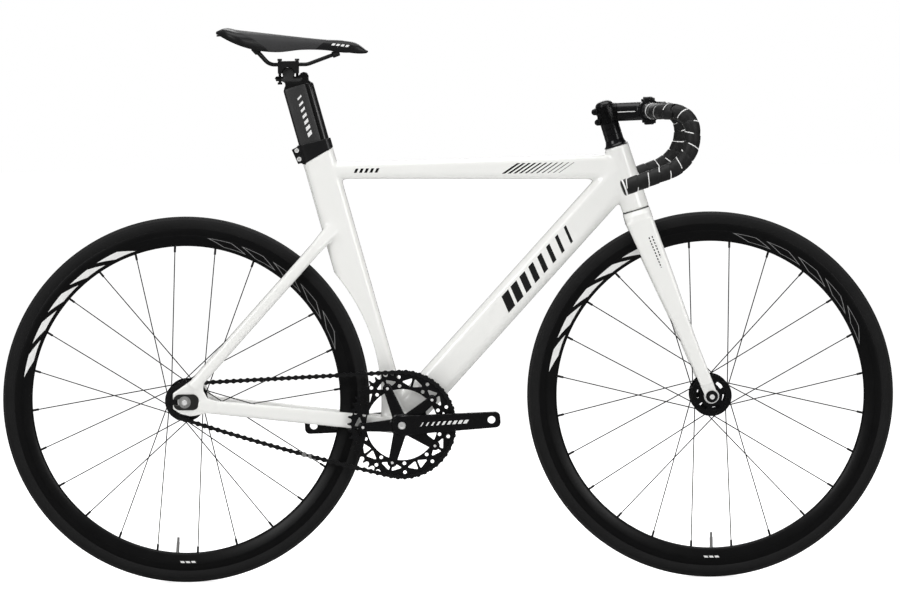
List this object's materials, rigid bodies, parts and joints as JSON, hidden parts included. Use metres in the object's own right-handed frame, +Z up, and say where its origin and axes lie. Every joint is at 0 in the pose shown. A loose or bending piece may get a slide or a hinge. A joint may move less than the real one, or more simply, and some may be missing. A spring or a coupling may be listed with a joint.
{
  "type": "fixed gear bike",
  "caption": "Track bicycle with a single fixed gear: white aero frame and straight fork, black deep-rim wheels, drop bar and slim saddle; no brakes and no pedals.",
  "frame": {"origin": "on the ground, under the middle of the wheelbase and midway between the bar ends", "axes": "+X forwards along the wheelbase, +Y towards the rider's left along the axles, +Z up; the drive side is -Y"},
  "size_m": [1.6474, 0.421, 1.0249],
  "materials": {
    "white_paint": "gloss",
    "bare_steel": "satin",
    "black_alloy": "satin",
    "black_steel": "satin",
    "tyre_rubber": "matte",
    "tube_rubber": "matte",
    "bar_tape": "matte",
    "black_plastic": "satin",
    "saddle_cover": "matte"
  },
  "bodies": {
    "frame": {"head_tube": "white_paint", "top_tube": "white_paint", "down_tube": "white_paint", "seat_tube": "white_paint", "bottom_bracket_shell": "white_paint", "chain_stay_right": "white_paint", "chain_stay_left": "white_paint", "seat_stay_right": "white_paint", "seat_stay_left": "white_paint", "dropout_right": "white_paint", "dropout_left": "white_paint", "dropout_inserts": "bare_steel", "seat_clamp": "black_alloy", "seat_clamp_bolts": "black_steel", "headset_bearings": "bare_steel", "bottom_bracket_cups": "black_alloy", "bottom_bracket_bearings": "bare_steel", "chain_inner_links": "black_steel", "chain_outer_links": "black_steel", "rear_axle": "bare_steel", "rear_axle_nuts": "black_steel"},
    "crankset": {"crank_spindle": "bare_steel", "crank_arm_right": "black_alloy", "crank_arm_left": "black_alloy", "chainring": "black_alloy", "chainring_bolts": "black_steel", "crank_bolts": "bare_steel"},
    "rear_wheel": {"rear_tyre": "tyre_rubber", "rear_inner_tube": "tube_rubber", "rear_rim": "black_alloy", "rear_spokes": "black_steel", "rear_hub_shell": "black_alloy", "rear_hub_bearings": "bare_steel", "rear_cog": "black_steel", "cog_lockring": "black_alloy"},
    "fork": {"fork_crown": "white_paint", "fork_blade_right": "white_paint", "fork_blade_left": "white_paint", "headset_spacers": "black_alloy", "stem": "black_alloy", "stem_faceplate": "black_alloy", "stem_bolts": "black_steel", "top_cap": "black_alloy", "handlebar": "black_alloy", "bar_tape": "bar_tape", "bar_end_plugs": "black_plastic", "front_axle": "bare_steel", "front_axle_nuts": "black_steel"},
    "front_wheel": {"front_tyre": "tyre_rubber", "front_inner_tube": "tube_rubber", "front_rim": "black_alloy", "front_spokes": "black_steel", "front_hub_shell": "black_alloy", "front_hub_bearings": "bare_steel"},
    "seatpost": {"seatpost": "black_alloy"},
    "saddle": {"saddle_clamp": "black_alloy", "saddle_clamp_bolts": "black_steel", "saddle_rails": "black_steel", "saddle_shell": "black_plastic", "saddle_pad": "saddle_cover"}
  },
  "joints": [
    {"name": "rear_wheel_spin", "type": "hinge", "parent": "frame", "child": "rear_wheel", "pos_m": [-0.4847, 0, 0.339], "axis": [0, 1, 0], "continuous": true, "deforming": ["chain_inner_links", "chain_outer_links"]},
    {"name": "crank_spin", "type": "hinge", "parent": "frame", "child": "crankset", "pos_m": [-0.08636, 0, 0.292], "axis": [0, 1, 0], "continuous": true, "deforming": ["chain_inner_links", "chain_outer_links"]},
    {"name": "steering", "type": "hinge", "parent": "frame", "child": "fork", "pos_m": [0.34941, 0, 0.68305], "axis": [-0.284, 0, 0.9588], "range_deg": [-60, 60]},
    {"name": "front_wheel_spin", "type": "hinge", "parent": "fork", "child": "front_wheel", "pos_m": [0.4847, 0, 0.339], "axis": [0, 1, 0], "continuous": true},
    {"name": "seatpost_slide", "type": "slide", "parent": "frame", "child": "seatpost", "axis": [-0.2639, 0, 0.9646], "range_m": [-0.08, 0.04]},
    {"name": "saddle_tilt", "type": "hinge", "parent": "seatpost", "child": "saddle", "pos_m": [-0.289, 0, 0.94], "axis": [0, 1, 0], "range_deg": [-5, 5]}
  ],
  "couplings": [
    {"joint": "crank_spin", "follows": "rear_wheel_spin", "ratio": 0.33333}
  ]
}
